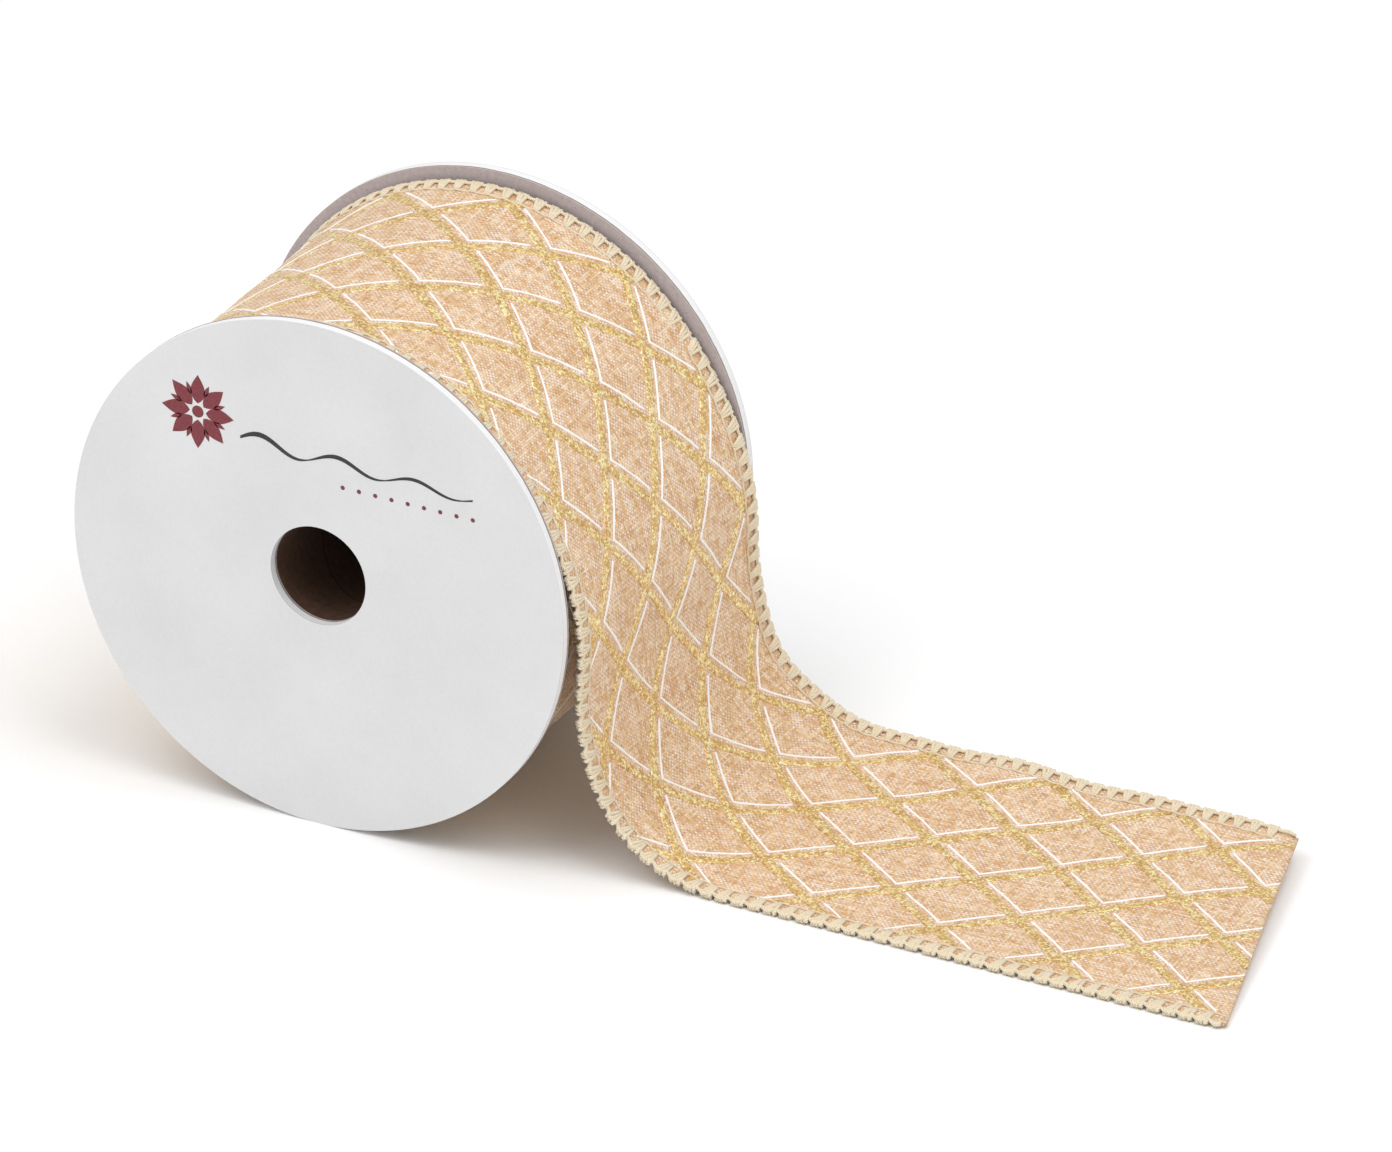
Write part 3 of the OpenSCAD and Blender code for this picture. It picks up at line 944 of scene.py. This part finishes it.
def petal(centre, inner, outer, width, angle):
    """Outline of one petal from inner to outer radius round a centre."""
    share = np.linspace(0, 1, 15)
    reach = inner + (outer - inner) * share
    half = width / 2 * np.sin(np.pi * share ** 0.8)
    left = np.stack([reach, half], -1)
    right = np.stack([reach, -half], -1)[::-1][1:-1]
    shape = np.concatenate([left, right])
    turn = np.array([[math.cos(angle), math.sin(angle)], [-math.sin(angle), math.cos(angle)]])
    return shape @ turn + centre


def disc(centre, radius, count=24):
    """Outline of a round spot."""
    turn = 2 * np.pi * np.arange(count) / count
    return np.stack([centre[0] + radius * np.cos(turn), centre[1] + radius * np.sin(turn)], -1)


def face_print(maroon, black):
    """A generic rosette, a tapering wave and a row of dots."""
    petals = [petal(ROSETTE, 1.6, 7.2, 2.9, math.radians(90 + 45 * k)) for k in range(8)]
    petals += [petal(ROSETTE, 3.4, 5.9, 0.9, math.radians(112.5 + 45 * k)) for k in range(8)]
    petals.append(disc(ROSETTE, 1.15))
    print_outline("face_print_rosette", petals, maroon)
    x = np.linspace(WAVE_FROM, WAVE_TO, 160)
    share = (x - x[0]) / (x[-1] - x[0])
    middle = WAVE_Z - 1.2 * share + 1.5 * np.sin(share * 6 * np.pi) * (1 - 0.5 * share)
    half = 0.12 + 0.42 * np.abs(np.sin(share * 3 * np.pi + 0.4)) * (1 - 0.6 * share)
    top = np.stack([x, middle + half], -1)
    under = np.stack([x, middle - half], -1)[::-1]
    print_outline("face_print_wave", [np.concatenate([top, under])], black)
    dots = [disc((at, DOTS_Z), 0.42, 16) for at in np.linspace(DOTS_FROM, DOTS_TO, 9)]
    print_outline("face_print_dots", dots, maroon)


def bend_with_tail(piece):
    """Bakes a tail piece's placement into its mesh."""
    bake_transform(piece)
    return piece


def dress_cad(paints):
    """Materials and softened edges for the CAD nodes that stay."""
    chosen = {
        "front_face_paper": "face", "back_face_paper": "face",
        "front_liner_paper": "liner", "back_liner_paper": "liner",
        "front_flange_board": "board", "back_flange_board": "board",
        "core_tube": "kraft", "front_glue_fillet": "glue", "back_glue_fillet": "glue",
        "starter_tape": "tape", "outer_lap_front_wire": "steel", "outer_lap_back_wire": "steel",
    }
    for name, paint in chosen.items():
        node = NODES[name]
        node.data.materials.clear()
        node.data.materials.append(paints[paint])
        if "paper" in name or "board" in name:
            bevel = node.modifiers.new("soft_edge", "BEVEL")
            bevel.width = (0.08 if "paper" in name else 0.12) * MM
            bevel.segments = 2
            bevel.limit_method = "ANGLE"
            bevel.angle_limit = math.radians(50)


def build_roll(paints):
    """The roll: outer lap with its print and stitches, and the laps under it."""
    roll = roll_ribbon(paints["weave"])
    prints = [gold_lattice("roll_gold_lattice", paints["gold"], on_roll=True),
              white_lines("roll_white_lines", paints["puff"], on_roll=True)]
    for piece in prints:
        on_spool(piece, "ribbon_fabric")
    for side, place in SIDES:
        stitches = edge_stitches(f"roll_{place}_stitches", roll_surface, paints["cream"], side,
                                 0, CELLS * CELL_L, under=(-0.5, 0.6))
        on_spool(stitches, "edge_thread", f"outer_lap_{place}_stitching")
    laps = wound_ribbon(paints["weave"])
    for side, place in SIDES:
        wound_edge(side, place, paints["edges"])
    return roll


def build_tail(paints, roll):
    """The free end with its print, stitches and wires, laid on the roll."""
    tail = bend_with_tail(tail_ribbon(paints["weave"]))
    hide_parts("tail_fabric", "tail_end_fabric")
    others = [gold_lattice("tail_gold_lattice", paints["gold"], on_roll=False),
              white_lines("tail_white_lines", paints["puff"], on_roll=False)]
    for piece in others:
        bend_with_tail(piece)
    first = STITCH_L * math.ceil(LEAVE_S / STITCH_L)
    for side, place in SIDES:
        last = cut_length(side * (RIBBON_HALF - 1.6)) - 0.6
        stitches = edge_stitches(f"tail_{place}_stitches", tail_surface, paints["cream"], side,
                                 first, last, under=(-0.62, 1.3))
        bend_with_tail(stitches)
        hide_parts(f"tail_{place}_stitching", f"tail_end_{place}_stitching")
        wire = edge_wire(f"tail_{place}_edge_wire", paints["steel"], side)
        bend_with_tail(wire)
        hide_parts(f"tail_{place}_wire", f"tail_end_{place}_wire")
        others += [stitches, wire]


def build():
    """Every piece of the object."""
    paints = {
        "weave": weave_paint(), "gold": gold_paint(), "puff": puff_paint(),
        "cream": thread_paint("cream_thread", srgb(208, 184, 142), srgb(246, 234, 208)),
        "steel": steel_paint(), "edges": shaded_wound_edge_paint(), "face": face_paint(),
        "liner": liner_paint(), "board": board_paint(), "kraft": shaded_kraft_paint(),
        "glue": glue_paint(), "tape": tape_paint(),
    }
    dress_cad(paints)
    build_tail(paints, build_roll(paints))
    face_print(ink_paint("maroon_ink", srgb(112, 22, 36), srgb(140, 44, 56)),
               ink_paint("black_ink", srgb(18, 16, 18), srgb(44, 40, 42)))


def add_floor():
    """A plain pale floor under the flanges."""
    half = FLOOR_HALF
    mesh = bpy.data.meshes.new("floor")
    mesh.from_pydata([(-half, -half, 0), (half, -half, 0), (half, half, 0), (-half, half, 0)],
                     [], [(0, 1, 2, 3)])
    mesh.materials.append(Paint("pale_floor", Base_Color=FLOOR_COLOUR, Roughness=0.9).material)
    floor = bpy.data.objects.new("floor", mesh)
    floor.location.z = -FLANGE_R * MM
    bpy.context.scene.collection.objects.link(floor)


def add_lights():
    """Even white surroundings and two soft area lights."""
    world = bpy.data.worlds.new("studio")
    world.use_nodes = True
    background = world.node_tree.nodes["Background"].inputs
    background["Color"].default_value = (1, 1, 1, 1)
    background["Strength"].default_value = WORLD_STRENGTH
    bpy.context.scene.world = world
    for name, place, power, size in LIGHTS:
        light = bpy.data.lights.new(name, "AREA")
        light.energy = power
        light.size = size
        lamp = bpy.data.objects.new(name, light)
        lamp.location = place
        lamp.rotation_euler = (LIGHT_AIM - Vector(place)).to_track_quat("-Z", "Y").to_euler()
        bpy.context.scene.collection.objects.link(lamp)


def add_camera():
    """A long lens that looks from the front's right and from above."""
    right = Vector((math.cos(VIEW_AZIMUTH), math.sin(VIEW_AZIMUTH), 0))
    back = Vector((math.sin(VIEW_AZIMUTH) * math.cos(VIEW_ELEVATION),
                   -math.cos(VIEW_AZIMUTH) * math.cos(VIEW_ELEVATION),
                   math.sin(VIEW_ELEVATION)))
    target = right * VIEW_RIGHT - back.cross(right) * VIEW_DOWN
    camera = bpy.data.cameras.new("camera")
    camera.lens = LENS
    camera.sensor_width = SENSOR
    camera.clip_end = CLIP_END
    eye = bpy.data.objects.new("camera", camera)
    eye.location = target + back * (VIEW_WIDTH * LENS / SENSOR)
    eye.rotation_euler = back.to_track_quat("Z", "Y").to_euler()
    bpy.context.scene.collection.objects.link(eye)
    bpy.context.scene.camera = eye


def studio():
    """Floor, light and camera."""
    add_floor()
    add_lights()
    add_camera()
    bpy.context.scene.view_settings.view_transform = "Standard"


build()
studio()
